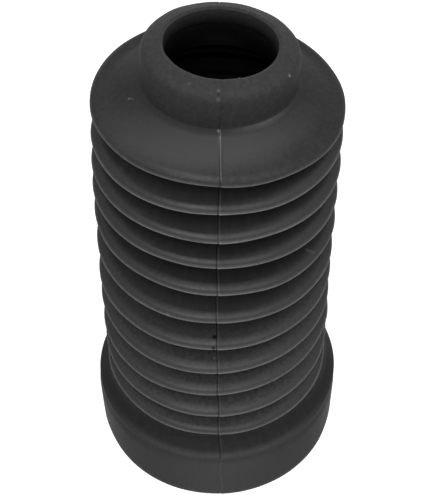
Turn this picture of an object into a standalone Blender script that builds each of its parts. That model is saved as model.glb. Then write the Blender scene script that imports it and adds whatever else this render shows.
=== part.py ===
"""Moulded rubber gaiter for a motorcycle's front fork: a thick gripping collar on top, a top cone, ten more
pleats below its lip, and a wide cuff that it stands on. It is one piece of rubber, open at both ends.

The section of the wall is drawn once, as two lines of corners with their own roundings, and turned round
the axis. The skin line is the outside. The inside follows it one wall thickness away, so that every pleat
is hollow. Last, each point moves with the slack lean of the rubber as it stands free.
"""

import math

import bmesh
import bpy

# Driving sizes, in metres
BORE_DIAMETER = 0.0330
BORE_TOP = 0.1715
BORE_GRIP_DEPTH = 0.0049
BORE_UNDERCUT = 0.0005
COLLAR_DIAMETER = 0.0462
COLLAR_TOP = 0.1720
COLLAR_FOOT = 0.1598
COLLAR_SHOULDER_RADIUS = 0.0036
COLLAR_TOP_FALL = 0.0006
RIM_LAND_START = 0.0014

LOWEST_LIP_HEIGHT = 0.0348
PITCH_TIGHT = 0.0106
PITCH_LOWEST = 0.0112
PITCH_SLACK = 0.0120
PITCH_OPEN = 0.0131
LOWEST_LIP_RADIUS = 0.0409
TOP_LIP_RADIUS = 0.0378
LIP_LAND_HEIGHT = 0.0018
LIP_LAND_SETBACK = 0.0008
LIP_UNDERCUT = 0.0009
ROOT_DEPTH = 0.0080
ROOT_LAND = 0.0011
ROOT_ROUNDING = 0.0005
INNER_CREST_ROUNDING = 0.0010
WALL = 0.0018

CUFF_RADIUS = 0.0452
CUFF_SHOULDER_HEIGHT = 0.0248
CUFF_SHOULDER_SETBACK = 0.0006
CUFF_WALL = 0.0031
CUFF_BORE_DRAFT = 0.0002
CUFF_FOOT_SETBACK = 0.0007
CUFF_FOOT_HEIGHT = 0.0028
FLARE_UNDERCUT = 0.0012
FLARE_WAIST_RADIUS = 0.0398
FLARE_HEIGHT = 0.0292
FLARE_SPREAD = 0.0010

TOP_LEAN_SHIFT = 0.0031
LEAN_STARTS = 0.0620
# Places where the slack pleats tip sideways: height, angle in degrees (right side down), reach up and down
SIDE_TIPS = ((0.058, -2.6, 0.022), (0.108, 1.6, 0.030))

LIP_EDGE = 0.0004
SOFT_ROUNDING = 0.0020
FOOT_ROUNDING = 0.0004
ARC_CHORD = 0.0009
TURN_STEPS = 36

# An arc takes at most this share of a stretch that it has to itself, and of one with an arc at each end
ALONE_SHARE = 0.95
SHARED_SHARE = 0.45
# Corners flatter than this, and edges softer than the next, count as smooth
STRAIGHT_ANGLE = math.radians(176)
SHARP_EDGE_ANGLE = math.radians(50)
MERGE_DISTANCE = 1e-7

# From the lowest gap to the highest: tight next to both ends, open in the middle
PITCHES = (
    [PITCH_LOWEST] + 3 * [PITCH_SLACK] + 2 * [PITCH_OPEN] + [PITCH_SLACK] + 3 * [PITCH_TIGHT]
)


def clear_scene():
    for old in list(bpy.data.objects):
        bpy.data.objects.remove(old, do_unlink=True)


def black_rubber():
    """Dull black moulded rubber."""
    rubber = bpy.data.materials.new("black_rubber")
    rubber.use_nodes = True
    shader = rubber.node_tree.nodes["Principled BSDF"]
    shader.inputs["Base Color"].default_value = (0.022, 0.022, 0.023, 1.0)
    shader.inputs["Roughness"].default_value = 0.62
    shader.inputs["Metallic"].default_value = 0.0
    return rubber


def lips():
    """(radius, height) of each lip's lower edge, from the top cone's lip down."""
    heights = [LOWEST_LIP_HEIGHT]
    for pitch in PITCHES:
        heights.append(heights[-1] + pitch)
    taper = (LOWEST_LIP_RADIUS - TOP_LIP_RADIUS) / len(PITCHES)
    return [(LOWEST_LIP_RADIUS - taper * row, height) for row, height in enumerate(heights)][::-1]


def lip_corners(radius, height):
    """The land above a lip's edge, which flares out to the edge, and the edge itself."""
    return [
        (radius - LIP_LAND_SETBACK, height + LIP_LAND_HEIGHT, 0.0),
        (radius, height + LIP_EDGE, 0.0),
        (radius - LIP_EDGE, height, 0.0),
    ]


def root_corners(radius, height):
    """The narrow root under a lip, where the next pleat starts."""
    root = radius - ROOT_DEPTH
    start = height - LIP_UNDERCUT
    return [(root, start, ROOT_ROUNDING), (root, start - ROOT_LAND, ROOT_ROUNDING)]


def cuff_corners():
    """The flare under the lowest lip, the soft shoulder, and the cuff's side down to the foot."""
    return [
        (FLARE_WAIST_RADIUS, LOWEST_LIP_HEIGHT - FLARE_UNDERCUT, 0.0),
        (FLARE_WAIST_RADIUS + FLARE_SPREAD, FLARE_HEIGHT, SOFT_ROUNDING),
        (CUFF_RADIUS - CUFF_SHOULDER_SETBACK, CUFF_SHOULDER_HEIGHT, 0.0),
        (CUFF_RADIUS, CUFF_SHOULDER_HEIGHT - LIP_LAND_HEIGHT, 0.0),
        (CUFF_RADIUS, CUFF_FOOT_HEIGHT, SOFT_ROUNDING),
        (CUFF_RADIUS - CUFF_FOOT_SETBACK, 0.0, FOOT_ROUNDING),
    ]


def outer_corners():
    """The outside, from the collar's rim down to the foot of the cuff."""
    bore = BORE_DIAMETER / 2
    collar = COLLAR_DIAMETER / 2
    corners = [
        (bore, BORE_TOP, 0.0),
        (bore + RIM_LAND_START, COLLAR_TOP, 0.0),
        (collar, COLLAR_TOP - COLLAR_TOP_FALL, COLLAR_SHOULDER_RADIUS),
        (collar, COLLAR_FOOT, 0.0),
    ]
    rows = lips()
    for radius, height in rows[:-1]:
        corners += lip_corners(radius, height) + root_corners(radius, height)
    return corners + lip_corners(*rows[-1]) + cuff_corners()


def offset_line(corners, distance):
    """The line that lies the given distance inside a line of corners, mitred at each and with the same
    roundings. The corners run down the outside, so inside is on the right of each stretch."""
    moved = []
    for start, end in zip(corners[:-1], corners[1:]):
        run = (end[0] - start[0], end[1] - start[1])
        length = math.hypot(*run)
        away = (run[1] / length * distance, -run[0] / length * distance)
        moved.append(((start[0] + away[0], start[1] + away[1]), run))
    line = [moved[0][0]]
    for (first, run_a), (second, run_b) in zip(moved[:-1], moved[1:]):
        cross = run_a[0] * run_b[1] - run_a[1] * run_b[0]
        gap = (second[0] - first[0], second[1] - first[1])
        share = (gap[0] * run_b[1] - gap[1] * run_b[0]) / cross
        line.append((first[0] + run_a[0] * share, first[1] + run_a[1] * share))
    last, run = moved[-1]
    line.append((last[0] + run[0], last[1] + run[1]))
    return [(*place, corner[2]) for place, corner in zip(line, corners)]


def skin_line():
    """The outside of the pleats as a plain zigzag, with each lip where its two flanks would meet, and
    with the rounding that the inside has at each corner."""
    corners = [(COLLAR_DIAMETER / 2, COLLAR_FOOT, 0.0)]
    rows = lips()
    for radius, height in rows[:-1]:
        corners.append((radius + LIP_LAND_SETBACK / 2, height, 0.0))
        for root, start, _ in root_corners(radius, height):
            corners.append((root, start, INNER_CREST_ROUNDING))
    radius, height = rows[-1]
    return corners + [
        (radius - LIP_LAND_SETBACK, height + LIP_LAND_HEIGHT, 0.0),
        (FLARE_WAIST_RADIUS, height - FLARE_UNDERCUT, 0.0),
        (FLARE_WAIST_RADIUS, FLARE_HEIGHT, 0.0),
        (CUFF_RADIUS - CUFF_SHOULDER_SETBACK, CUFF_SHOULDER_HEIGHT, 0.0),
    ]


def inner_corners():
    """The inside, from the foot of the cuff up to the bore."""
    bore = BORE_DIAMETER / 2
    neck = bore + BORE_UNDERCUT
    grip = BORE_TOP - BORE_GRIP_DEPTH
    inside = offset_line(skin_line(), WALL)
    neck_foot = inside[0][1]
    cuff_bore = CUFF_RADIUS - CUFF_WALL
    neck_line = [
        (neck, neck_foot, SOFT_ROUNDING),
        (neck, grip, 0.0),
        (bore, grip + BORE_UNDERCUT, 0.0),
    ]
    foot = [
        (cuff_bore, 0.0, FOOT_ROUNDING),
        (cuff_bore - CUFF_BORE_DRAFT, CUFF_SHOULDER_HEIGHT - CUFF_WALL, SOFT_ROUNDING),
    ]
    return foot + inside[-2:0:-1] + neck_line


def room(length, neighbour_rounding):
    """How much of a stretch an arc may take, less where the corner at the other end has one too."""
    return length * (SHARED_SHARE if neighbour_rounding else ALONE_SHARE)


def rounded(corners):
    """The closed line through the corners, each replaced by an arc of its own radius as far as the
    stretches beside it have room."""
    line = []
    count = len(corners)
    for index, (radius, height, rounding) in enumerate(corners):
        before = corners[index - 1]
        after = corners[(index + 1) % count]
        back = (before[0] - radius, before[1] - height)
        ahead = (after[0] - radius, after[1] - height)
        length_back = math.hypot(*back)
        length_ahead = math.hypot(*ahead)
        cosine = (back[0] * ahead[0] + back[1] * ahead[1]) / (length_back * length_ahead)
        half = math.acos(max(-1.0, min(1.0, cosine))) / 2
        if rounding == 0.0 or half > STRAIGHT_ANGLE / 2:
            line.append((radius, height))
            continue
        reach = min(
            rounding / math.tan(half), room(length_back, before[2]), room(length_ahead, after[2])
        )
        steps = max(1, round(rounding / ARC_CHORD))
        for step in range(steps + 1):
            share = step / steps
            near = reach * (1 - share) ** 2
            far = reach * share**2
            line.append(
                (
                    radius + back[0] / length_back * near + ahead[0] / length_ahead * far,
                    height + back[1] / length_back * near + ahead[1] / length_ahead * far,
                )
            )
    return line


def sideways(height):
    """How far the axis has leant to the right at this height: a parabola from where the lean starts."""
    share = max(0.0, (height - LEAN_STARTS) / (COLLAR_TOP - LEAN_STARTS))
    return TOP_LEAN_SHIFT * share**2


def tip(height):
    """The angle in radians by which a pleat at this height is lower on its right side: square to the
    leaning axis, plus a smooth bump at each place where the pleats tip."""
    share = max(0.0, (height - LEAN_STARTS) / (COLLAR_TOP - LEAN_STARTS))
    angle = math.atan(2 * TOP_LEAN_SHIFT * share / (COLLAR_TOP - LEAN_STARTS))
    for middle, degrees, reach in SIDE_TIPS:
        away = min(1.0, abs(height - middle) / reach)
        angle += math.radians(degrees) * (1 + math.cos(math.pi * away)) / 2
    return angle


def lean(vertex):
    """Moves a point of the straight gaiter to where the slack rubber holds it."""
    across, _, height = vertex.co
    angle = tip(height)
    vertex.co.x = sideways(height) + across * math.cos(angle)
    vertex.co.z = height - across * math.sin(angle)


def gaiter_mesh():
    """The wall's section, turned once round the axis and then leant."""
    section = rounded(outer_corners() + inner_corners())
    shape = bmesh.new()
    ring = [shape.verts.new((radius, 0.0, height)) for radius, height in section]
    edges = [shape.edges.new((ring[i - 1], ring[i])) for i in range(len(ring))]
    bmesh.ops.spin(
        shape,
        geom=ring + edges,
        cent=(0, 0, 0),
        axis=(0, 0, 1),
        angle=math.tau,
        steps=TURN_STEPS,
        use_merge=True,
    )
    bmesh.ops.remove_doubles(shape, verts=shape.verts, dist=MERGE_DISTANCE)
    bmesh.ops.recalc_face_normals(shape, faces=shape.faces)
    for vertex in shape.verts:
        lean(vertex)
    bmesh.ops.triangulate(shape, faces=shape.faces)
    mesh = bpy.data.meshes.new("fork_gaiter")
    shape.to_mesh(mesh)
    shape.free()
    mesh.shade_smooth()
    mesh.set_sharp_from_angle(angle=SHARP_EDGE_ANGLE)
    return mesh


def fork_gaiter():
    """The whole gaiter, one piece of rubber."""
    gaiter = bpy.data.objects.new("fork_gaiter", gaiter_mesh())
    gaiter.data.materials.append(black_rubber())
    bpy.context.scene.collection.objects.link(gaiter)


clear_scene()
fork_gaiter()
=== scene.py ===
"""Fork gaiter of moulded black rubber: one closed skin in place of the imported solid, and a plain studio.

The section of the wall is a closed line of rounded corners. It is turned round the axis on a grid of
stations along the line by angles round the axis. The relief that the mould and handling left is added
along the section's normal, the lips get their slack waves, and all of it leans as the rubber stands free.
Angles run from the front, -Y, towards +X. Lengths are metres.
"""

import math

import bpy
import numpy as np
from bpy.props import FloatProperty, FloatVectorProperty, IntProperty, PointerProperty
from mathutils import Matrix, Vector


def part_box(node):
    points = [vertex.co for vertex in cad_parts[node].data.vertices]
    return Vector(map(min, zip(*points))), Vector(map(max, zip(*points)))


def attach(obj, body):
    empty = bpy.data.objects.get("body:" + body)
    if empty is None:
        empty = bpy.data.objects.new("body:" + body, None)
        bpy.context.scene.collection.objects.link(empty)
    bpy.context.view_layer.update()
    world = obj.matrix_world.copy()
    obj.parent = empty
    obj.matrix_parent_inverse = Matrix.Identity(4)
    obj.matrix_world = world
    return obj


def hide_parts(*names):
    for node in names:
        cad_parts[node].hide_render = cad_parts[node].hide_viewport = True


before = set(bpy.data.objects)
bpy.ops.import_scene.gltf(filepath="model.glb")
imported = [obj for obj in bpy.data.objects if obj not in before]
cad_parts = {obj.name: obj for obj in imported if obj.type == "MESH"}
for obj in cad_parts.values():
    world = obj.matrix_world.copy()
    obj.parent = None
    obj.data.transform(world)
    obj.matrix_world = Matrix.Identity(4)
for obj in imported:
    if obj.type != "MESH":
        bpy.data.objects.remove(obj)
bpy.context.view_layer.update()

bl_info = {
    "name": "Moulded Fork Gaiter",
    "version": (1, 0, 0),
    "blender": (4, 5, 0),
    "location": "3D View > Sidebar > Gaiter",
    "description": "Pleated rubber gaiter for a motorcycle's front fork, with a plain studio",
    "category": "Add Mesh",
}

GAITER_NODE = "fork_gaiter"
BODY = "root"

# Small marks as (x, y, z, size, paleness) in millimetres; below zero the mark is dark. The pale ones paint
# scuffs and highlights on small nubs and flash, the dark ones grime and shade in small pits and nicks.
SPOTS = (
    (2.1, -20.7, 171.3, 0.7, 0.25),
    (2.1, -21.8, 170.8, 0.6, -0.6),
    (2.0, -22.7, 169.8, 0.7, 0.25),
    (-5.9, -18.2, 171.8, 0.7, 0.2),
    (21.8, -12.0, 169.1, 0.6, 1.0),
    (2.0, -23.4, 159.3, 0.6, 0.8),
    (2.3, -24.9, 158.4, 0.7, 1.0),
    (2.3, -25.8, 157.9, 0.6, 0.9),
    (-0.4, -36.4, 84.2, 1.0, -0.95),
    (-0.7, -37.9, 83.1, 0.8, 0.25),
    (-0.8, -39.2, 82.0, 0.8, -0.7),
    (-0.7, -34.9, 74.6, 0.8, -0.9),
    (-0.6, -35.9, 72.3, 0.8, 0.25),
    (-23.5, -7.1, 158.0, 0.6, 0.6),
    (-22.6, -7.6, 158.3, 0.5, 0.35),
    (-15.0, -36.5, 95.7, 0.9, 0.6),
    (29.1, -21.6, 108.3, 0.8, 0.16),
    (30.1, -21.5, 107.7, 0.8, 0.2),
    (31.1, -21.4, 107.1, 0.8, 0.16),
)

# Where dust and painted light lie all round, most on the lower pleats, and where painted light lies in front
# on the cuff and the top cone, as (share of the height, share of the colour).
DUST_AND_LIGHT_STOPS = ((0.0, 0.0), (0.18, 0.0), (0.22, 0.75), (0.42, 0.55), (0.62, 0.0), (0.93, 0.1), (0.96, 0.35))
FRONT_LIGHT_STOPS = ((0.0, 0.35), (0.14, 0.35), (0.16, 0.0), (0.885, 0.0), (0.897, 1.0), (0.915, 1.0), (0.93, 0.1))

# Softboxes as (name, width, depth, place) in metres. Their powers are in the studio's settings.
SOFTBOXES = (
    ("key", 1.2, 0.5, (0.0, -0.4, 0.85)),
    ("front", 0.3, 0.3, (0.0, -0.45, 0.75)),
    ("low", 0.5, 0.15, (0.0, -0.6, 0.08)),
    ("left", 0.3, 0.3, (-0.45, -0.1, 0.75)),
    ("right", 0.3, 0.3, (0.45, -0.1, 0.75)),
    ("back", 0.6, 0.2, (0.0, 0.6, 0.22)),
)
FLOOR_HALF_WIDTH = 2.0

LOW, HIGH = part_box(GAITER_NODE)
MM = 0.001
TINY = 0.001 * MM

# Points down a lip's band, as shares of its height, and how many of a lip's corners the cone's lip lacks.
BAND_SHARES = np.array([1.15, 0.9, 0.7, 0.5, 0.25])
BEND_CORNERS = 3

# The grid: points on the corners' arcs, the share of a stretch that arcs may fill, the longest gap between
# stations on the flanks and elsewhere, and how much closer they stand towards a stretch's end.
OUTER_STEPS, INNER_STEPS = 4, 2
ARC_SHARE = 0.98
FLANK_SPACING, OTHER_SPACING = 1.8 * MM, 6 * MM
CROWDING = 1.8

# Shares of grime and painted shade, of paleness from rubbing and painted highlights, and of dust, painted
# light and painted shade on the skin's places, and how far round they reach.
SEAM_DIRT_AND_SHADE, SEAM_CHANGE, COLLAR_CLEAN, CUFF_CLEAN = 0.5, 0.2, 0.38, 0.45
FOOT_SHADOW, SHOULDER_SHADE = 0.5, 0.25
CONE_LIP_PALE, CORNER_PALE, RIDGE_PALE, BESIDE_PALE = 0.6, 0.5, 0.8, 0.16
FOOT_PALE, SHOULDER_PALE, CUFF_LINE_PALE, CUFF_PALE = 0.35, 0.2, 0.3, 0.14
FLARE_SHADE, PLAIN_DUST, CUFF_SIDE_SHADE, CUFF_FRONT_LIGHT_AND_DUST, RIM_SHADE = 0.25, 0.5, 0.3, 0.7, 0.3
CUFF_PALE_SPREAD, CUFF_LIGHT_SPREAD, RIM_SHADE_SPREAD = (math.radians(spread) for spread in (28, 38, 50))
LIT_REACH_DIP, DIP_ANGLE, DIP_SPREAD = 0.35, math.radians(-12), math.radians(28)

# How much denser the angles are over the front and at the parting lines, and how far round that reaches.
FRONT_DENSITY, FRONT_SPREAD = 1.6, math.radians(52)
LINE_DENSITY, LINE_SPREAD = 17.0, math.radians(1.7)


def linear(hex_colour):
    """The linear colour, with alpha, of an sRGB hex value such as #3a3a3b."""
    parts = [int(hex_colour[start : start + 2], 16) / 255 for start in (1, 3, 5)]
    return [part / 12.92 if part <= 0.04045 else ((part + 0.055) / 1.055) ** 2.4 for part in parts] + [1.0]


def setting(default, description, **kind):
    """A number, or a row of numbers, that a user may change."""
    if np.ndim(default):
        return FloatVectorProperty(default=default, size=len(default), description=description, **kind)
    return FloatProperty(default=default, description=description, **kind)


def length(default, description):
    """A size in metres, or a row of them."""
    return setting(default, description, unit="LENGTH", precision=5)


def angle(degrees, description):
    """An angle, or a row of them."""
    return setting(np.radians(degrees).tolist(), description, unit="ROTATION")


def plain(default, description):
    """A number without a unit, or a row of them."""
    return setting(default, description, precision=3)


def colour(hex_colour, description):
    """A colour, kept as linear light."""
    return setting(linear(hex_colour), description, subtype="COLOR", min=0.0, max=1.0)


class CollarSizes(bpy.types.PropertyGroup):
    """The thick ring on top, which grips the stanchion."""

    bore_radius: length(0.0165, "Radius of the gripping bore")
    bore_top: length(0.1717, "Height at which the bore meets the rim")
    grip_depth: length(0.0049, "Height of the gripping band in the bore")
    undercut: length(0.0005, "How much wider the neck is under the gripping band")
    radius: length(0.0231, "Outer radius of the collar")
    top: length(0.1720, "Height of the rim, before the lean lifts its left side")
    top_fall: length(0.0014, "How far the top slopes down to the shoulder")
    rim_land: length(0.0010, "Width of the chamfer from the bore to the top")
    shoulder: length(0.0034, "Radius of the outer shoulder")
    foot: length(0.1598, "Height at which the collar meets the top cone")
    foot_rounding: length(0.0004, "Radius of the corner at the collar's foot")
    ring: length(0.0012, "Width of the steep ring that leads from the collar to the cone")
    ring_fall: length(0.0020, "Height of the steep ring")


class PleatSizes(bpy.types.PropertyGroup):
    """The top cone and the pleats below it, each with a flared lip over a narrow root."""

    lowest_height: length(0.03455, "Height of the lowest lip's edge")
    pitch_lowest: length(0.0110, "Height from the lowest lip to the next")
    pitch_slack: length(0.0120, "Pitch of the slack pleats")
    pitch_open: length(0.01295, "Pitch of the two widest pleats")
    pitch_tight: length(0.01065, "Pitch of the three pleats under the cone")
    lowest_radius: length(0.0409, "Radius of the lowest lip")
    top_radius: length(0.0383, "Radius of the lips just under the top cone")
    cone_draft: length(0.0003, "How much narrower the top cone's own lip is")
    bend_height: length(0.0036, "Height over a lip's edge at which its flank bends outwards")
    bend_setback: length(0.0050, "How far the bend stands back from the edge")
    bend_rounding: length(0.0070, "Radius of the bend")
    land_height: length(0.00145, "Height of the band above a lip's edge")
    edge: length(0.00036, "Thickness of the bead at a lip's edge")
    edge_rounding: length(0.0003, "Radius of the bead's corners")
    # Painted light and dust: the height over a lip's edge up to which a flank is painted lit and dusty,
    # below the painted shade from the lip above.
    light_and_dust_height: length(0.0022, "Height over a lip's edge up to which dust lies on its flank")
    undercut: length(0.0009, "Fall from a lip's underside to the root")
    root_depth: length(0.0080, "How far a root lies inside its lip")
    root_land: length(0.0011, "Height of the root")
    root_rounding: length(0.0007, "Radius of the root's corners")
    wall: length(0.0018, "Thickness of the pleats' wall")
    crest_rounding: length(0.0012, "Radius of the inside's crests")


class CuffSizes(bpy.types.PropertyGroup):
    """The wide cuff that goes over the fork leg, and the flare above it."""

    radius: length(HIGH.x - 0.00006, "Outer radius of the cuff, just inside the packed solid")
    shoulder_height: length(0.0248, "Height of the cuff's shoulder")
    shoulder_setback: length(0.0003, "How far the shoulder stands back")
    shoulder_fall: length(0.0052, "Height over which the shoulder stands back")
    shoulder_groove: length(0.00025, "Depth of the faint groove under the shoulder")
    wall: length(0.0031, "Thickness of the cuff")
    draft: length(0.0002, "How much the cuff's bore narrows upwards")
    foot_setback: length(0.0004, "How far the foot draws in")
    foot_height: length(0.0028, "Height from which the foot draws in")
    flare_undercut: length(0.0012, "Fall from the lowest lip to the flare")
    flare_radius: length(0.0398, "Radius at the top of the flare")
    flare_height: length(0.0292, "Height at which the flare turns outwards")
    flare_spread: length(0.0010, "How far the flare widens before it turns")
    swell: length(0.0011, "How much fuller the flare is on the right")
    swell_angle: angle(105, "Where round the flare it is fullest")
    swell_spread: angle(45, "How far round the fullness spreads")
    soft_rounding: length(0.0020, "Radius of the flare's and foot's soft corners")


class LeanSizes(bpy.types.PropertyGroup):
    """How the slack rubber leans to the right and tips its pleats."""

    shift: length(0.0031, "How far the top stands to the right of the foot")
    starts: length(0.0620, "Height at which the lean starts")
    tips: angle((-2.3, 2.3, -1.4), "Right side down, of the pleats round each of three heights")
    tip_heights: length((0.060, 0.104, 0.139), "The three heights")
    tip_reaches: length((0.016, 0.030, 0.014), "How far up and down each tip reaches")
    back_rise: length(0.0028, "How much higher the top cone's lip stands at the back")
    back_spread: angle(62, "How far round the back rise reaches")
    front_sag: length(0.0007, "How far the lower lips hang down in front")
    sag_spread: angle(33, "How far round the front sag reaches")
    sag_ends: length(0.090, "Height where the front sag ends")


class MouldMarks(bpy.types.PropertyGroup):
    """What the mould's two halves and the handling left on the skin."""

    line_at_foot: angle(1.0, "Angle of the front parting line at the foot")
    line_at_top: angle(0.0, "Angle of the front parting line at the top")
    groove_width: length(0.00020, "Half width of the parting line's groove")
    groove_depth: length(0.00026, "Depth of the groove on the pleats")
    ridge_height: length(0.00034, "Height of the flash ridge on the top cone")
    ridge_width: length(0.00022, "Half width of the flash ridge")
    hollow_angle: angle(-9, "Where round the front the lips' bands are most hollow")
    hollow_spread: angle(18, "How far round the hollow spreads")
    hollow_depth: length(0.00026, "Depth of the hollow in the lips' bands")
    right_share: plain(0.45, "Share of the hollow and its ridge that the right half has")
    corner_ridge: length(0.00014, "Height of the ridge over the hollow")
    wander: angle(0.25, "How far round the front parting line wanders")
    wander_height: length(0.0033, "Height in which it wanders by one radian of its wave")
    jump_height: length(0.00035, "The same for its jumps in the flash under the collar")
    jump_reach: length(0.0014, "How far up and down the jumps reach")
    step: length(0.00012, "How far the right half stands proud along the line")
    step_reach: length(0.0060, "Distance in which the step fades out")
    # Painted highlight: where round the collar's foot the pale edge is painted.
    foot_angle: angle(32, "Where round the collar's foot the edge is rubbed pale")
    tooth_angle: angle(16.5, "Where the flash on the bore's edge ends in a tooth")
    tooth_height: length(0.00032, "Height of the tooth")
    wave_out: length(0.00012, "Waviness of the lips, outwards")
    wave_up: length(0.00016, "Waviness of the lips, upwards")
    unevenness: length(0.00006, "Slow unevenness of the whole skin")
    seed: IntProperty(default=7, description="Start of the random draws for the waves")


class RubberLook(bpy.types.PropertyGroup):
    """Colours and finish of the moulded rubber."""

    body: colour("#363636", "The rubber's own dull black")
    deep: colour("#323232", "The darker clouds in it")
    # Painted shade: the darker black painted on the flanks under the lips, where the lip above shadows them.
    shade_under_lips: colour("#292929", "The clean black under the lips")
    # Grey bloom and dust, which also paints light low on the flanks, on the lower pleats and in front on the
    # cuff and the top cone.
    bloom: colour("#4e4e4e", "Grey bloom and dust")
    # Pale colour of edges scuffed in handling, also painted as highlights on the lips' beads, the ridges,
    # the collar's foot, the cuff's shoulder and small nubs.
    rubbed_and_highlit: colour("#848484", "Edges that handling has rubbed pale")
    # Dark colour of grime in the parting lines, also painted as shade in their grooves, beside the cone's
    # ridge, under the collar's foot and the cuff's shoulder, and in small pits.
    dirt_and_shade: colour("#0e0e0e", "Dirt in the parting lines")
    # Painted shade: the near black of the inside, which lies in shadow.
    inner: colour("#070707", "The inside, which dust and light don't reach")
    roughness: plain(0.5, "Roughness of the moulded skin")
    sheen_level: plain(0.02, "Strength of the skin's reflection")
    grain_size: length(0.00045, "Size of the blasted mould's grain")
    grain_depth: length(0.00001, "Depth of the grain")
    fleck_size: length(0.0013, "Size of the flecks of bloom")
    fleck_depth: length(0.00002, "Depth of the swells that go with the flecks")
    fleck_share: plain(0.2, "Most bloom in a fleck")
    cloud_size: length(0.009, "Size of the darker clouds")
    streak_width: length(0.0026, "Width of the streaks down the pleats")
    streak_share: plain(0.1, "Most bloom in a streak")
    # Share of the grey that paints light and dust low on the flanks and on the cuff's front.
    light_and_dust_share: plain(0.55, "Bloom where dust lies thick")


class StudioSettings(bpy.types.PropertyGroup):
    """Camera, lamps and floor. The camera is worked out for a frame of 435 by 495 pixels."""

    camera_place: length((0.001077, -0.2428, 0.3488), "Camera's place")
    camera_down: angle(47.165, "How far the camera looks down")
    camera_roll: angle(-1.0, "How far the camera leans over, anticlockwise")
    lens: plain(1046.6 / 495 * 36, "Focal length in millimetres on a 36 mm sensor")
    powers: plain((2.7, 1.5, 0.3, 1.2, 1.75, 0.9), "Power of each softbox in turn, in watts")
    floor: colour("#c4c4c4", "Colour of the floor")
    floor_lift: plain(0.85, "White added to the floor where it is looked at")


class GaiterSettings(bpy.types.PropertyGroup):
    """All the settings of the gaiter, kept on the scene."""

    collar: PointerProperty(type=CollarSizes)
    pleats: PointerProperty(type=PleatSizes)
    cuff: PointerProperty(type=CuffSizes)
    lean: PointerProperty(type=LeanSizes)
    marks: PointerProperty(type=MouldMarks)
    look: PointerProperty(type=RubberLook)
    studio: PointerProperty(type=StudioSettings)
    turn_steps: IntProperty(default=200, description="Angles round the axis")


def lips(pleats):
    """Radius and height of each lip's edge, from the top cone's lip down. The heights are the lowest
    one plus the running sum of the pitches, and the radius grows evenly downwards from the second lip."""
    pitches = [pleats.pitch_lowest] + 3 * [pleats.pitch_slack] + 2 * [pleats.pitch_open]
    pitches += [pleats.pitch_slack] + 3 * [pleats.pitch_tight]
    height = pleats.lowest_height + np.concatenate([[0.0], np.cumsum(pitches)])
    radius = np.linspace(pleats.lowest_radius, pleats.top_radius, len(height))
    radius[-2:] -= pleats.cone_draft
    return radius[::-1], height[::-1]


def lip_corners(radius, height, pleats):
    """The bend of a lip's flank, points down the band under it and the bead at the edge, as (radius,
    height, rounding). The band's points lie on the straight line from the bend to the bead."""
    slope = pleats.bend_setback / (pleats.bend_height - pleats.edge)
    band = BAND_SHARES * (pleats.land_height - pleats.edge)
    return [
        (radius - pleats.bend_setback, height + pleats.bend_height, pleats.bend_rounding),
        *[(radius - slope * rise, height + pleats.edge + rise, 0.0) for rise in band],
        (radius, height + pleats.edge, pleats.edge_rounding),
        (radius - pleats.edge, height, pleats.edge_rounding),
    ]


def root_corners(radius, height, pleats, rounding):
    """The narrow root under a lip, where the next pleat starts."""
    root = radius - pleats.root_depth
    start = height - pleats.undercut
    return [(root, start, rounding), (root, start - pleats.root_land, rounding)]


def outer_corners(collar, pleats, cuff):
    """The outside, from the collar's rim down to the foot of the cuff. The cone runs straight down to its
    lip, without the bend that the flanks of the other pleats have."""
    sharp = pleats.edge_rounding / 2
    corners = [
        (collar.bore_radius, collar.bore_top, sharp),
        (collar.bore_radius + collar.rim_land, collar.top, 2 * sharp),
        (collar.radius, collar.top - collar.top_fall, collar.shoulder),
        (collar.radius, collar.foot, collar.foot_rounding),
        (collar.radius + collar.ring, collar.foot - collar.ring_fall, 1.4 * collar.ring),
    ]
    rows = list(zip(*lips(pleats)))
    corners += lip_corners(*rows[0], pleats)[BEND_CORNERS:]
    for above, row in zip(rows, rows[1:]):
        corners += root_corners(*above, pleats, pleats.root_rounding) + lip_corners(*row, pleats)
    shoulder = cuff.radius - cuff.shoulder_setback
    groove_height = cuff.shoulder_height - 0.3 * cuff.shoulder_fall
    return np.array(
        corners
        + [
            (cuff.flare_radius, pleats.lowest_height - cuff.flare_undercut, pleats.root_rounding),
            (cuff.flare_radius + cuff.flare_spread, cuff.flare_height, 2 * cuff.soft_rounding),
            (shoulder, cuff.shoulder_height, 0.7 * cuff.soft_rounding),
            (shoulder - cuff.shoulder_groove, groove_height, cuff.soft_rounding / 2),
            (cuff.radius, cuff.shoulder_height - cuff.shoulder_fall, cuff.soft_rounding),
            (cuff.radius, cuff.foot_height, cuff.soft_rounding),
            (cuff.radius - cuff.foot_setback, 0.0, pleats.edge_rounding),
        ]
    )


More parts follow.
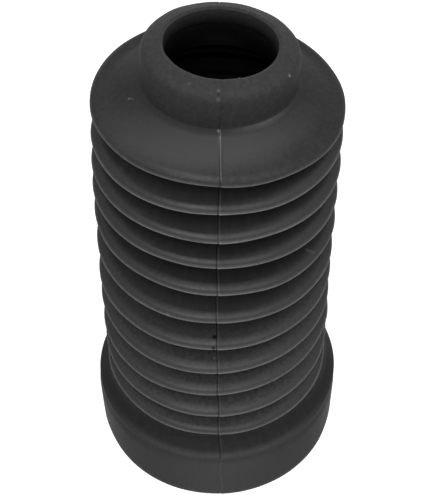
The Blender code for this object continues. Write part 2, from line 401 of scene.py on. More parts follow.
def inner_corners(collar, pleats, cuff):
    """The inside, from the foot of the cuff up to the bore: the pleats' plain zigzag moved in by one
    wall thickness, with each corner where the two moved stretches cross."""
    rows = list(zip(*lips(pleats)))
    zigzag = [(collar.radius, collar.foot, 0.0)]
    for radius, height in rows[:-1]:
        if height != rows[0][1]:
            zigzag.append(lip_corners(radius, height, pleats)[0])
        zigzag.append((radius + pleats.edge, height, pleats.edge_rounding))
        zigzag += root_corners(radius, height, pleats, pleats.crest_rounding)
    radius, height = rows[-1]
    zigzag += [
        (radius - pleats.land_height, height + pleats.land_height, pleats.edge_rounding),
        (cuff.flare_radius, height - cuff.flare_undercut, pleats.crest_rounding),
        (cuff.flare_radius, cuff.flare_height, cuff.soft_rounding),
        (cuff.radius - cuff.shoulder_setback, cuff.shoulder_height, 0.0),
    ]
    zigzag = np.array(zigzag)
    run = np.diff(zigzag[:, :2], axis=0)
    run /= np.hypot(*run.T)[:, None]
    start = zigzag[:-1, :2] + np.stack([run[:, 1], -run[:, 0]], axis=1) * pleats.wall
    gap = start[1:] - start[:-1]
    share = np.cross(gap, run[1:]) / np.cross(run[:-1], run[1:])
    moved = start[:-1] + run[:-1] * share[:, None]
    pleated = np.column_stack([moved, zigzag[1:-1, 2]])[::-1]
    neck = collar.bore_radius + collar.undercut
    grip = collar.bore_top - collar.grip_depth
    bore = cuff.radius - cuff.wall
    foot = [
        (bore, 0.0, pleats.edge_rounding),
        (bore - cuff.draft, cuff.shoulder_height - cuff.wall, cuff.soft_rounding),
    ]
    top = [
        (neck, start[0, 1], cuff.soft_rounding),
        (neck, grip, pleats.edge_rounding / 2),
        (collar.bore_radius, grip + collar.undercut, pleats.edge_rounding / 2),
    ]
    return np.vstack([foot, pleated, top])


def repeated(counts):
    """For runs of the given lengths, laid end to end: the run that each entry is in, and its place in it."""
    owner = np.repeat(np.arange(len(counts)), counts)
    return owner, np.arange(len(owner)) - np.repeat(np.cumsum(counts) - counts, counts)


def rounded(corners, steps):
    """The closed line with an arc at each corner: the quadratic curve that leaves one stretch and joins
    the next at equal distances from the corner. Two arcs share a stretch in proportion to their radii."""
    place, rounding = corners[:, :2], corners[:, 2]
    back = np.roll(place, 1, axis=0) - place
    ahead = np.roll(place, -1, axis=0) - place
    back_length, ahead_length = np.hypot(*back.T), np.hypot(*ahead.T)
    cosine = np.sum(back * ahead, axis=1) / (back_length * ahead_length)
    half = np.arccos(np.clip(cosine, -1.0, 0.9999)) / 2
    before, after = np.roll(rounding, 1), np.roll(rounding, -1)
    reach = np.minimum.reduce(
        [
            rounding / np.tan(half),
            ARC_SHARE * back_length * rounding / np.maximum(rounding + before, TINY),
            ARC_SHARE * ahead_length * rounding / np.maximum(rounding + after, TINY),
        ]
    )
    owner, step = repeated(steps)
    share = (step / np.maximum(steps[owner] - 1, 1))[:, None]
    first = back * (reach / back_length)[:, None]
    last = ahead * (reach / ahead_length)[:, None]
    return place[owner] + first[owner] * (1 - share) ** 2 + last[owner] * share**2


def arc_steps(rounding, steps):
    """Points on each corner's arc: one where there is no rounding, more on wide arcs, and few on the
    hidden roots' middling ones."""
    wide, middling = rounding > 3 * MM, rounding > 0.5 * MM
    return np.select([rounding == 0.0, wide, middling], [1, steps + 2, steps - 1], steps)


def filled(line, spacing):
    """The closed line with points along every stretch that is longer than its spacing, closer together
    towards the stretch's end, where the outside has its lips."""
    run = np.roll(line, -1, axis=0) - line
    counts = np.maximum(1, np.ceil(np.hypot(*run.T) / spacing)).astype(int)
    owner, step = repeated(counts)
    share = 1 - (1 - step / counts[owner]) ** CROWDING
    return line[owner] + run[owner] * share[:, None]


def along(line):
    """Distance along the closed line from its first point, at each point."""
    run = np.diff(line, axis=0)
    return np.concatenate([[0.0], np.cumsum(np.hypot(*run.T))])


def outward(line):
    """Unit normals of the closed line, which runs down the outside: the tangent from the point before to
    the point after, turned a quarter to the left."""
    tangent = np.roll(line, -1, axis=0) - np.roll(line, 1, axis=0)
    tangent /= np.hypot(*tangent.T)[:, None]
    return np.stack([-tangent[:, 1], tangent[:, 0]], axis=1)


def bump(distance, width):
    """A smooth bump, 1 in the middle: e to the minus of the squared distance in widths."""
    return np.exp(-((distance / width) ** 2))


def ramp(value, start, end):
    """0 before start, 1 after end, and a smooth S between them."""
    share = np.clip((value - start) / (end - start), 0.0, 1.0)
    return share**2 * (3 - 2 * share)


def turned(angles, middle):
    """Angle from the middle, the short way round."""
    return (angles - middle + math.pi) % math.tau - math.pi


def turn_angles(count):
    """Angles round the axis. Their density is even, plus more over the front and much more at the two
    parting lines, and the angles are where its running sum passes even steps."""
    fine = np.linspace(-math.pi, math.pi, 20001)
    front = np.exp(-((fine / FRONT_SPREAD) ** 8))
    at_line = bump(turned(fine, 0.0), LINE_SPREAD) + 0.5 * bump(turned(fine, math.pi), LINE_SPREAD)
    density = 1 + FRONT_DENSITY * front + LINE_DENSITY * at_line
    total = np.concatenate([[0.0], np.cumsum((density[1:] + density[:-1]) / 2)])
    return np.interp(np.arange(count) / count * total[-1], total, fine)


def waves(angles, rows, lowest, highest, rng):
    """Slow waves round each row's lip: a sum of sines with drawn phases and strengths, which fall with
    the number of waves to the turn. One line of values for each row, about 1 high."""
    number = np.arange(lowest, highest + 1)
    phase = rng.uniform(0, math.tau, (rows, len(number)))
    strength = rng.normal(0, 1, (rows, len(number))) / number**0.7
    strength /= np.sqrt(np.sum(strength**2, axis=1))[:, None]
    return np.sum(strength[..., None] * np.sin(number[:, None] * angles + phase[..., None]), axis=1)


class Skin:
    """The grid that the skin is worked out on: stations along the section by angles round the axis. What
    belongs to a station is a column, and what belongs to an angle is a row."""

    def __init__(self, settings):
        collar, pleats, cuff = settings.collar, settings.pleats, settings.cuff
        outer = outer_corners(collar, pleats, cuff)
        inner = inner_corners(collar, pleats, cuff)
        steps = np.concatenate([arc_steps(outer[:, 2], OUTER_STEPS), arc_steps(inner[:, 2], INNER_STEPS)])
        line = rounded(np.vstack([outer, inner]), steps)
        run = np.roll(line, -1, axis=0) - line
        on_outside = np.arange(len(line)) < np.sum(steps[: len(outer)])
        falls = run[:, 1] < -0.3 * np.abs(run[:, 0])
        self.line = filled(line, np.where(on_outside & falls, FLANK_SPACING, OTHER_SPACING))
        self.radius, self.height = self.line[:, :1], self.line[:, 1:]
        self.way = along(self.line)[:, None]
        self.normal = outward(self.line)
        foot = np.argmin(np.hypot(self.radius - cuff.radius + cuff.wall / 2, self.height))
        self.outside = (np.arange(len(self.line)) <= foot).astype(float)[:, None]
        self.angles = turn_angles(settings.turn_steps)
        lip_radius, lip_height = lips(pleats)
        from_band = np.abs(self.height - lip_height - pleats.land_height / 2)
        self.row = np.argmin(from_band, axis=1, keepdims=True)
        self.over_edge = self.height - lip_height[self.row]
        out = ramp(self.radius - lip_radius[self.row], -0.6 * pleats.root_depth, -0.15 * pleats.root_depth)
        self.at_lip = out * self.outside * ramp(self.height, cuff.flare_height, pleats.lowest_height - MM)

    def around(self, middle, spread):
        """1 at an angle and less to both sides of it, at each angle round the axis."""
        return bump(turned(self.angles, middle), spread)


def line_distance(skin, settings, behind=False):
    """Distance round the skin from a parting line, to the right of it. The front line wanders a little
    between its places at the top and at the foot, and jumps about in the flash under the collar."""
    marks, collar = settings.marks, settings.collar
    height = skin.height
    share = height / collar.top
    middle = marks.line_at_foot * (1 - share) + marks.line_at_top * share
    middle = middle + marks.wander * np.sin(height / marks.wander_height)
    across = skin.radius * turned(skin.angles, middle + math.pi * behind)
    in_flash = bump(height - collar.foot + MM, marks.jump_reach)
    jumps = marks.ridge_width * np.sin(height / marks.jump_height) * in_flash
    return across - jumps * (not behind)


def cone_share(skin, settings):
    """1 on the top cone and 0 on the collar and the pleats, at each station."""
    foot = settings.collar.foot
    lip = lips(settings.pleats)[1][0] + 0.6 * settings.pleats.land_height
    return ramp(skin.height, lip, lip + MM) * (1 - ramp(skin.height, foot - 0.3 * MM, foot)) * skin.outside


def parting_line(skin, settings):
    """Relief along the two lines where the mould's halves met. At the front a step lets the right half
    stand proud and a groove runs beside it, deeper lower down, with a flash ridge over the top cone."""
    marks, collar = settings.marks, settings.collar
    height = skin.height
    across = line_distance(skin, settings)
    on_collar = ramp(height, collar.foot, collar.foot + 1.5 * MM)
    depth = marks.groove_depth * (1.5 - 0.8 * height / collar.top) * (1 - 0.75 * on_collar)
    ridge = marks.ridge_height * cone_share(skin, settings) * bump(across, marks.ridge_width)
    side = 0.5 * (1 + np.tanh(across / (0.15 * MM))) * np.exp(-np.abs(across) / marks.step_reach)
    front = ridge - depth * bump(across + marks.groove_width, marks.groove_width)
    front = front + marks.step * side * (1 - 0.6 * on_collar)
    back = -0.8 * marks.groove_depth * bump(line_distance(skin, settings, behind=True), marks.groove_width)
    return (front + back) * skin.outside


def land_relief(skin, settings):
    """The band above each lip's bead: hollow all round, and deeper under a low ridge to the left of the
    front parting line."""
    marks, land = settings.marks, settings.pleats.land_height
    hollow = marks.hollow_depth * bump(skin.over_edge - 0.5 * land, 0.24 * land) * skin.at_lip
    ridge = marks.corner_ridge * bump(skin.over_edge - land, 0.22 * land) * skin.at_lip
    left = left_share(skin, settings)
    return ridge * left - hollow * (0.6 + 0.4 * left)


def left_share(skin, settings):
    """1 just to the left of the front parting line, fading round to the left, and a fainter share that
    fades round to the right of it."""
    marks = settings.marks
    left = skin.around(marks.hollow_angle, marks.hollow_spread)
    right = marks.right_share * skin.around(-marks.hollow_angle, marks.hollow_spread)
    return np.where(skin.angles < marks.line_at_foot, left, right)


def rim_flash(skin, settings):
    """Height of the flash left on the bore's edge in front: a thin raised run that ends in a tooth."""
    marks, collar = settings.marks, settings.collar
    distance = np.hypot(skin.radius - collar.bore_radius, skin.height - collar.bore_top)
    run = ramp(skin.angles, 0.1 * marks.tooth_angle, 0.3 * marks.tooth_angle)
    run = run * (1 - ramp(skin.angles, 0.95 * marks.tooth_angle, 1.15 * marks.tooth_angle))
    tooth = bump(collar.bore_radius * turned(skin.angles, marks.tooth_angle), marks.tooth_height)
    return bump(distance, 0.5 * MM) * marks.tooth_height * (0.45 * run + 0.9 * tooth)


def seam_dirt_and_shade(skin, settings):
    """Share of grime and painted shade, from 0 to 1: grime and painted shade along the parting lines'
    grooves, most on the pleats, painted shadow on both sides of the cone's ridge, then a painted shadow in
    front under the collar's foot and painted shade in the groove under the cuff's shoulder."""
    marks, collar, cuff = settings.marks, settings.collar, settings.cuff
    across = line_distance(skin, settings)
    on_collar = ramp(skin.height, collar.foot, collar.foot + 3 * MM)
    on_cuff = 1 - ramp(skin.height, 22 * MM, 26 * MM)
    strength = SEAM_DIRT_AND_SHADE - COLLAR_CLEAN * on_collar - CUFF_CLEAN * on_cuff
    strength = strength + SEAM_CHANGE * np.sin(skin.row * 2.4)
    cone = cone_share(skin, settings)
    line = bump(across + marks.groove_width, 0.9 * marks.groove_width)
    beside = bump(across - 2.2 * marks.ridge_width, marks.ridge_width)
    front = line + 0.7 * cone * beside
    back = bump(line_distance(skin, settings, behind=True), marks.groove_width)
    lines = (front + 0.6 * back) * strength * skin.outside
    # Painted shadow on the top cone just under the collar's foot, in front.
    foot = FOOT_SHADOW * bump(skin.height - collar.foot + 0.7 * MM, 0.9 * MM) * skin.outside
    foot = foot * skin.around(marks.hollow_angle, 1.6 * marks.hollow_spread)
    # Painted shade in the faint groove under the cuff's shoulder, in front.
    shoulder = SHOULDER_SHADE * bump(skin.height - cuff.shoulder_height + 1.5 * MM, 0.8 * MM)
    shoulder = shoulder * skin.outside * skin.around(0.0, 2 * marks.hollow_spread)
    return np.clip(lines + foot + shoulder, 0.0, 1.0)


def unevenness(skin, settings, rng):
    """Slow hollows and swells of the skin: a sum of products of a sine round the axis and a sine along
    the section, with drawn phases."""
    total = np.zeros((len(skin.radius), len(skin.angles)))
    for number in (3, 5, 8, 13):
        phase = rng.uniform(0, math.tau, 2)
        wave = np.sin(number * skin.angles + phase[0] + skin.height / (19 * MM))
        total += wave * np.sin(skin.way / (11 * MM) + phase[1] + number)
    return settings.marks.unevenness * total * 0.5


def lip_shifts(skin, settings, rng):
    """How far out and up the lips move: their waves, the sag of the lower ones in front and the rise of
    the cone's lip behind. The flash on the rim is added to what moves up."""
    marks, lean = settings.marks, settings.lean
    rows = len(lips(settings.pleats)[0])
    row = skin.row[:, 0]
    sizes = (marks.wave_out, marks.wave_up)
    out, up = (waves(skin.angles, rows, 2, 9, rng)[row] * size * skin.at_lip for size in sizes)
    low = ramp(skin.height, lean.sag_ends, lean.sag_ends - 2 * settings.pleats.pitch_slack)
    sag = lean.front_sag * low * skin.around(0.0, lean.sag_spread)
    rise = lean.back_rise * (skin.row == 0) * skin.around(math.pi, lean.back_spread)
    return out, up + (rise - sag) * skin.at_lip + rim_flash(skin, settings)


def flare_swell(skin, settings):
    """How far the flare swells out on the right, fading towards its top and towards the cuff's side."""
    cuff = settings.cuff
    below = ramp(skin.height, cuff.shoulder_height - 3 * MM, cuff.flare_height)
    above = ramp(skin.height, cuff.flare_height, settings.pleats.lowest_height)
    on_flare = below * (1 - above) * skin.outside
    return cuff.swell * on_flare * skin.around(cuff.swell_angle, cuff.swell_spread)


def leant(skin, settings, radius, height):
    """Points at each radius and height, turned to each angle and leant: a circle shifts sideways by a
    parabola of its height, tips square to that parabola, and tips further near each of three heights."""
    lean, top = settings.lean, settings.collar.top
    share = np.clip((skin.height - lean.starts) / (top - lean.starts), 0.0, None)
    tip = np.arctan(2 * lean.shift * share / (top - lean.starts))
    for most, middle, reach in zip(lean.tips, lean.tip_heights, lean.tip_reaches):
        away = np.minimum(1.0, np.abs(skin.height - middle) / reach)
        tip = tip + most * (1 + np.cos(math.pi * away)) / 2
    across = radius * np.sin(skin.angles)
    x = lean.shift * share**2 + across * np.cos(tip)
    y = -radius * np.cos(skin.angles)
    z = height - across * np.sin(tip)
    return np.stack([x, y, z], axis=-1)


def gaiter_points(skin, settings):
    """The skin's points: the section's radius and height plus the relief along its normal and the lips'
    shifts, turned and leant. The foot stays flat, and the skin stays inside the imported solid's side."""
    rng = np.random.default_rng(settings.marks.seed)
    out, up = lip_shifts(skin, settings, rng)
    relief = parting_line(skin, settings) + land_relief(skin, settings) + unevenness(skin, settings, rng)
    radius = skin.radius + skin.normal[:, :1] * relief + out + flare_swell(skin, settings)
    radius = np.minimum(radius, HIGH.x - 0.01 * MM)
    height = skin.height + skin.normal[:, 1:] * relief * (skin.height > MM / 2) + up
    return leant(skin, settings, radius, height)


def bead_highlight(skin, land):
    """Painted highlight, 1 along each lip's bead, where the section bends outwards: the bend is the angle
    turned at a station over the distance between the middles of its two stretches."""
    before = skin.line - np.roll(skin.line, 1, axis=0)
    after = np.roll(skin.line, -1, axis=0) - skin.line
    turn = np.arctan2(-np.cross(before, after), np.sum(before * after, axis=1))
    bend = turn / (0.5 * (np.hypot(*before.T) + np.hypot(*after.T)))
    bend = np.clip(bend * 0.5 * MM, 0.0, 1.0)[:, None]
    bend = np.maximum(bend, 0.5 * (np.roll(bend, 1) + np.roll(bend, -1))) * skin.outside
    return bend * skin.at_lip * (1 - ramp(skin.over_edge, 0.35 * land, 0.7 * land))


def rubbed_edges_and_highlights(skin, settings):
    """Share of paleness, from 0 to 1, from rubbing and painted highlights: painted highlights along the
    lips' beads and the ridges over their hollows, along the flash ridge and beside the parting line, at the
    collar's foot and the cuff's shoulder, and painted light on the cuff in front and a painted highlight
    along its parting line."""
    marks, collar, cuff = settings.marks, settings.collar, settings.cuff
    land = settings.pleats.land_height
    at_row = np.where(skin.row == 0, CONE_LIP_PALE, 1.0)
    bead = at_row * bead_highlight(skin, land)
    corner = CORNER_PALE * at_row * bump(skin.over_edge - land, 0.2 * land) * skin.at_lip
    corner = corner * left_share(skin, settings)

    across = line_distance(skin, settings)
    top = bump(skin.height - collar.foot + 1.8 * MM, 1.5 * MM) * skin.outside
    ridge = np.maximum(RIDGE_PALE * cone_share(skin, settings), top)
    ridge = ridge * bump(across, 0.9 * (1 + top) * marks.ridge_width)
    pleated = ramp(skin.height, 26 * MM, 30 * MM) * (1 - ramp(skin.height, 148 * MM, 152 * MM))
    beside = BESIDE_PALE * bump(across - marks.ridge_width, 1.2 * marks.ridge_width)
    beside = beside * pleated * skin.outside

    foot = bump(np.hypot(skin.radius - collar.radius, skin.height - collar.foot), 0.3 * MM) * skin.outside
    foot = FOOT_PALE * foot * skin.around(marks.foot_angle, marks.hollow_spread)
    shoulder = bump(skin.height - cuff.shoulder_height - 0.6 * MM, 0.7 * MM) * skin.outside
    shoulder = SHOULDER_PALE * shoulder * skin.around(0.0, 3 * marks.hollow_spread)
    on_cuff = (1 - ramp(skin.height, cuff.shoulder_height - MM, cuff.shoulder_height)) * skin.outside
    cuff_line_highlight = CUFF_LINE_PALE * bump(across, 1.2 * marks.ridge_width)
    cuff_front_light = CUFF_PALE * skin.around(0.0, CUFF_PALE_SPREAD)
    on_cuff = on_cuff * (cuff_line_highlight + cuff_front_light)
    return np.clip(bead + corner + ridge + beside + foot + shoulder + on_cuff, 0.0, 1.0)


def painted_shading_and_dust(skin, settings):
    """How much painted light and dust the skin is given, from 0 to 1: 0 high on a flank, painted shade where
    the lip above shadows it, 1 low on a flank, painted light and dust, and between on the rest: less, for
    painted shade, on the flare, the cuff's sides and the collar's back, and more, for painted light and
    dust, on the cuff's front."""
    pleats = settings.pleats
    flank = (skin.over_edge > 0) & (skin.row > 0) & (skin.over_edge < 9 * MM)
    shade_under_lips = (skin.height < lips(pleats)[1][0]) & (skin.height > pleats.lowest_height)
    # The painted shade reaches further down the flanks in front, a little to the left.
    reach = pleats.light_and_dust_height * (1 - LIT_REACH_DIP * skin.around(DIP_ANGLE, DIP_SPREAD))
    low = 1 - ramp(skin.over_edge - reach, -0.4 * MM, 0.7 * MM)

    height = skin.height
    shoulder, collar_foot = settings.cuff.shoulder_height, settings.collar.foot
    behind = skin.around(math.pi, RIM_SHADE_SPREAD) * (height > collar_foot)
    lit_front = skin.around(0.0, CUFF_LIGHT_SPREAD)
    on_rest = PLAIN_DUST - RIM_SHADE * behind
    on_cuff = CUFF_SIDE_SHADE + CUFF_FRONT_LIGHT_AND_DUST * lit_front
    on_rest = np.where(height <= shoulder, on_cuff, on_rest)
    on_rest = np.where((height > shoulder) & (height < pleats.lowest_height), FLARE_SHADE, on_rest)
    return np.where(shade_under_lips, flank * low, on_rest)


def grid_mesh(name, points, way, angles, girth):
    """A closed mesh over a grid that joins up both ways. Its UV map holds metres: the angle times the
    girth's radius across, and the distance along the section up."""
    rows, columns = points.shape[:2]
    row, column = (part.ravel() for part in np.indices((rows, columns)))
    here, above, right = row * columns, (row + 1) % rows * columns, (column + 1) % columns
    corners = np.stack([here + column, above + column, above + right, here + right], axis=1)
    mesh = bpy.data.meshes.new(name)
    mesh.from_pydata(points.reshape(-1, 3), [], corners)
    full_angles = np.append(angles, angles[0] + math.tau) * girth
    full_way = np.append(way, way[-1] + 2 * MM)
    across = np.stack([full_angles[column + step] for step in (0, 0, 1, 1)], axis=1)
    upward = np.stack([full_way[row + step] for step in (0, 1, 1, 0)], axis=1)
    uv = mesh.uv_layers.new(name="skin")
    uv.data.foreach_set("uv", np.stack([across, upward], axis=-1).ravel().astype(np.float32))
    mesh.shade_smooth()
    return mesh


def fill(tree, made, inputs):
    """Fills a node's inputs: a socket is linked, a value is set."""
    for name, value in inputs.items():
        if isinstance(value, bpy.types.NodeSocket):
            tree.links.new(value, made.inputs[name])
        else:
            made.inputs[name].default_value = value


def node(tree, kind, inputs=None, **settings):
    """Adds a shader node of a kind, sets its properties, and fills its inputs."""
    made = tree.nodes.new("ShaderNode" + kind)
    for name, value in settings.items():
        setattr(made, name, value)
    fill(tree, made, inputs or {})
    return made


def between(tree, value, low, high, low_result, high_result):
    """The value moved from the range low to high into the range of the results, and held inside it."""
    limits = {"Value": value, "From Min": low, "From Max": high, "To Min": low_result, "To Max": high_result}
    return node(tree, "MapRange", limits).outputs["Result"]


def share_of(tree, name):
    """One of the shares that the mesh keeps at its points."""
    return node(tree, "Attribute", attribute_name=name).outputs["Fac"]


def combined(tree, operation, first, second):
    """Two values combined by an operation of the Math node."""
    return node(tree, "Math", {0: first, 1: second}, operation=operation).outputs[0]


def stops(tree, value, pairs):
    """The value passed through (place, result) pairs, with straight runs between them."""
    made = node(tree, "ValToRGB", {"Fac": value})
    elements = made.color_ramp.elements
    for place, result in pairs[2:]:
        elements.new(place)
    for element, (place, result) in zip(elements, pairs):
        element.position = place
        element.color = (result, result, result, 1.0)
    return made.outputs["Color"]


def noise(tree, vector, size, detail):
    """Noise in which one swell measures the size."""
    settings = {"Vector": vector, "Scale": 1.0 / size, "Detail": detail}
    return node(tree, "TexNoise", settings).outputs["Fac"]


def raised(tree, height, distance, **normal):
    """The normal of a skin that the height raises by up to the distance, over another normal if given."""
    settings = {"Height": height, "Distance": distance, "Strength": 1.0, **normal}
    return node(tree, "Bump", settings).outputs["Normal"]


def rubber_colour(tree, look, place, flecks):
    """The rubber's colour, laid over its deep tone in turn: clouds and flecks, painted shade under the lips,
    painted light and dust low on the flanks, dust and painted light all round, painted light in front, bloom
    in streaks, paleness from rubbing with painted highlights, grime with painted shade, each small mark, and
    painted shade inside."""
    shading_and_dust = share_of(tree, "dust")
    axes = node(tree, "SeparateXYZ", {"Vector": place})
    height = between(tree, axes.outputs["Z"], 0.0, HIGH.z, 0.0, 1.0)
    lit_front = between(tree, axes.outputs["Y"], 0.1 * LOW.y, 0.75 * LOW.y, 0.0, 1.0)
    speckled = between(tree, flecks, 0.3, 0.7, 0.7, 1.3)
    uneven_paleness = between(tree, flecks, 0.3, 0.6, 0.75, 1.0)
    skin = node(tree, "UVMap", uv_map="skin").outputs["UV"]
    drawn_out = node(tree, "Mapping", {"Vector": skin, "Scale": (1.0, 0.2, 1.0)}).outputs["Vector"]
    streaks = noise(tree, drawn_out, look.streak_width, 2.0)
    layers = [
        (between(tree, noise(tree, place, look.cloud_size, 3.0), 0.35, 0.65, 0.0, 1.0), look.body),
        (between(tree, flecks, 0.4, 0.75, 0.0, look.fleck_share), look.bloom),
        # Painted shade under the lips, then painted light and dust low on the flanks.
        (between(tree, shading_and_dust, 0.0, 0.5, 1.0, 0.0), look.shade_under_lips),
        (between(tree, shading_and_dust, 0.5, 1.0, 0.0, look.light_and_dust_share), look.bloom),
        # Dust and painted light all round, most on the lower pleats.
        (combined(tree, "MULTIPLY", stops(tree, height, DUST_AND_LIGHT_STOPS), speckled), look.bloom),
        # Painted light in front, on the cuff and the top cone.
        (combined(tree, "MULTIPLY", stops(tree, height, FRONT_LIGHT_STOPS), lit_front), look.bloom),
        (between(tree, streaks, 0.45, 0.75, 0.0, look.streak_share), look.bloom),
        # Paleness from rubbing, and painted highlights.
        (combined(tree, "MULTIPLY", share_of(tree, "rubbed_and_highlit"), uneven_paleness), look.rubbed_and_highlit),
        # Grime and painted shade.
        (share_of(tree, "dirt_and_shade"), look.dirt_and_shade),
    ]
    # Small marks: pale scuffs and painted highlights on nubs, dark grime and painted shade in pits.
    for x, y, z, size, paleness in SPOTS:
        centre = (x * MM, y * MM, z * MM)
        away = node(tree, "VectorMath", {0: place, 1: centre}, operation="DISTANCE")
        share = between(tree, away.outputs["Value"], 0.3 * size * MM, size * MM, abs(paleness), 0.0)
        layers.append((share, look.rubbed_and_highlit if paleness > 0 else look.dirt_and_shade))
    # Painted shade inside.
    layers.append((share_of(tree, "inside"), look.inner))
    base = look.deep
    for share, over in layers:
        mix = node(tree, "Mix", {"Factor": share, "A": base, "B": over}, data_type="RGBA")
        base = mix.outputs["Result"]
    return base


def moulded_rubber(look):
    """Black nitrile rubber, moulded in a blasted steel mould. The eye sees a dull charcoal skin with soft
    cloudy bloom, fine grain, faint streaks down the pleats, and lip edges that handling has made pale, which
    are partly painted highlights; its colour also holds painted light low on the flanks and in front, and
    painted shade under the lips, in the grooves and inside."""
    rubber = bpy.data.materials.new("moulded_black_rubber")
    rubber.use_nodes = True
    tree = rubber.node_tree
    shader = tree.nodes["Principled BSDF"]
    place = node(tree, "TexCoord").outputs["Object"]
    flecks = noise(tree, place, look.fleck_size, 2.0)
    grain = raised(tree, noise(tree, place, look.grain_size, 3.0), look.grain_depth)
    inputs = {
        "Base Color": rubber_colour(tree, look, place, flecks),
        "Normal": raised(tree, flecks, look.fleck_depth, Normal=grain),
        "Roughness": look.roughness,
        "Specular IOR Level": look.sheen_level,
        "Metallic": 0.0,
    }
    fill(tree, shader, inputs)
    return rubber


def is_looked_at(tree):
    """1 for camera, glossy and transmission rays, which then see plain white, and 0 for the rest."""
    path = node(tree, "LightPath").outputs
    seen = combined(tree, "MAXIMUM", path["Is Camera Ray"], path["Is Glossy Ray"])
    return combined(tree, "MAXIMUM", seen, path["Is Transmission Ray"])


def matt_floor(studio):
    """Matt white paper. It takes the object's shadow, and white is added where it is looked at."""
    paper = bpy.data.materials.new("matt_white_paper")
    paper.use_nodes = True
    tree = paper.node_tree
    shader = tree.nodes["Principled BSDF"]
    inputs = {
        "Base Color": studio.floor,
        "Roughness": 0.9,
        "Specular IOR Level": 0.1,
        "Emission Color": (1.0, 1.0, 1.0, 1.0),
        "Emission Strength": combined(tree, "MULTIPLY", is_looked_at(tree), studio.floor_lift),
    }
    fill(tree, shader, inputs)
    return paper


def softbox(name, power, width, depth, place, aim):
    """A rectangular lamp that faces the point aimed at."""
    lamp = bpy.data.lights.new(name, "AREA")
    lamp.shape = "RECTANGLE"
    lamp.size = width
    lamp.size_y = depth
    lamp.energy = power
    made = bpy.data.objects.new(name, lamp)
    bpy.context.scene.collection.objects.link(made)
    away = np.array(place) - np.array(aim)
    flat = math.hypot(away[0], away[1])
    made.location = place
    made.rotation_euler = (math.atan2(flat, away[2]), 0.0, math.atan2(away[0], -away[1]))
    return made


class GAITER_OT_moulding(bpy.types.Operator):
    """Make the gaiter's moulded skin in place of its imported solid"""

    bl_idname = "gaiter.moulding"
    bl_label = "Gaiter Moulding"

    def execute(self, context):
        settings = context.scene.fork_gaiter
        skin = Skin(settings)
        points = gaiter_points(skin, settings)
        mesh = grid_mesh("gaiter_moulding", points, skin.way, skin.angles, settings.pleats.lowest_radius)
        # Painted shade inside: full below the collar, half as much up to the rim, where some light comes in.
        lit = 0.5 * ramp(skin.height, settings.collar.foot, settings.collar.top)
        inside = (1 - skin.outside) * (1 - lit)
        # The shares at the points: paleness from rubbing and painted highlights, grime and painted shade,
        # dust with painted light and shade, and painted shade inside.
        shares = {
            "rubbed_and_highlit": rubbed_edges_and_highlights(skin, settings),
            "dirt_and_shade": seam_dirt_and_shade(skin, settings),
            "dust": painted_shading_and_dust(skin, settings),
            "inside": np.repeat(inside, len(skin.angles), axis=1),
        }
        for name, share in shares.items():
            values = share.ravel().astype(np.float32)
            mesh.attributes.new(name, "FLOAT", "POINT").data.foreach_set("value", values)
        mesh.materials.append(moulded_rubber(settings.look))
        piece = bpy.data.objects.new("gaiter_moulding", mesh)
        context.scene.collection.objects.link(piece)
        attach(piece, BODY)
        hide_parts(GAITER_NODE)
        return {"FINISHED"}


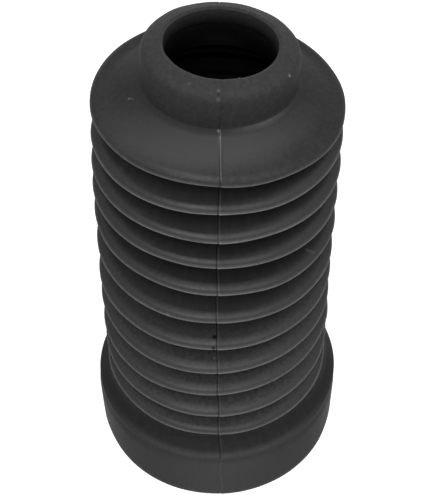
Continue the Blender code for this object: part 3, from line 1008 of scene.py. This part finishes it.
class GAITER_OT_studio(bpy.types.Operator):
    """Make the camera, the lamps, the world and the floor"""

    bl_idname = "gaiter.studio"
    bl_label = "Studio"

    def execute(self, context):
        scene = context.scene
        studio = scene.fork_gaiter.studio
        scene.view_settings.view_transform = "Standard"
        half = FLOOR_HALF_WIDTH
        sheet = bpy.data.meshes.new("floor")
        flat = [(-half, -half, 0), (half, -half, 0), (half, half, 0), (-half, half, 0)]
        sheet.from_pydata(flat, [], [(0, 1, 2, 3)])
        sheet.materials.append(matt_floor(studio))
        floor = bpy.data.objects.new("floor", sheet)
        scene.collection.objects.link(floor)

        world = bpy.data.worlds.new("studio")
        scene.world = world
        world.use_nodes = True
        tree = world.node_tree
        inputs = {"Color": (1.0, 1.0, 1.0, 1.0), "Strength": is_looked_at(tree)}
        fill(tree, tree.nodes["Background"], inputs)

        aim = (0.0, 0.0, HIGH.z / 2)
        for power, (name, width, depth, place) in zip(studio.powers, SOFTBOXES):
            softbox(name + "_softbox", power, width, depth, place, aim)

        camera_data = bpy.data.cameras.new("camera")
        camera_data.lens = studio.lens
        camera = bpy.data.objects.new("camera", camera_data)
        scene.collection.objects.link(camera)
        camera.location = studio.camera_place
        level = Matrix.Rotation(math.pi / 2 - studio.camera_down, 3, "X")
        camera.rotation_euler = (level @ Matrix.Rotation(studio.camera_roll, 3, "Z")).to_euler()
        scene.camera = camera
        return {"FINISHED"}


class GAITER_PT_panel(bpy.types.Panel):
    """Lists what this add-on makes and its settings"""

    bl_label = "Fork Gaiter"
    bl_idname = "GAITER_PT_panel"
    bl_space_type = "VIEW_3D"
    bl_region_type = "UI"
    bl_category = "Gaiter"

    def draw(self, context):
        layout = self.layout
        settings = context.scene.fork_gaiter
        for operator in (GAITER_OT_moulding, GAITER_OT_studio):
            layout.operator(operator.bl_idname)
        for group in ("collar", "pleats", "cuff", "lean", "marks", "look", "studio"):
            box = layout.box()
            box.label(text=group.capitalize())
            values = getattr(settings, group)
            for name in values.bl_rna.properties.keys():
                if name not in ("rna_type", "name"):
                    box.prop(values, name)


SETTINGS = (CollarSizes, PleatSizes, CuffSizes, LeanSizes, MouldMarks, RubberLook, StudioSettings)
CLASSES = (*SETTINGS, GaiterSettings, GAITER_OT_moulding, GAITER_OT_studio, GAITER_PT_panel)


def register():
    """Registers the classes, with each setting named after itself."""
    for made in CLASSES:
        for name, value in getattr(made, "__annotations__", {}).items():
            value.keywords["name"] = name.replace("_", " ").capitalize()
        bpy.utils.register_class(made)
    bpy.types.Scene.fork_gaiter = PointerProperty(type=GaiterSettings)


def unregister():
    del bpy.types.Scene.fork_gaiter
    for made in reversed(CLASSES):
        bpy.utils.unregister_class(made)


def main():
    """Registers the add-on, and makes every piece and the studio."""
    register()
    bpy.ops.gaiter.moulding()
    bpy.ops.gaiter.studio()


if __name__ == "__main__":
    main()
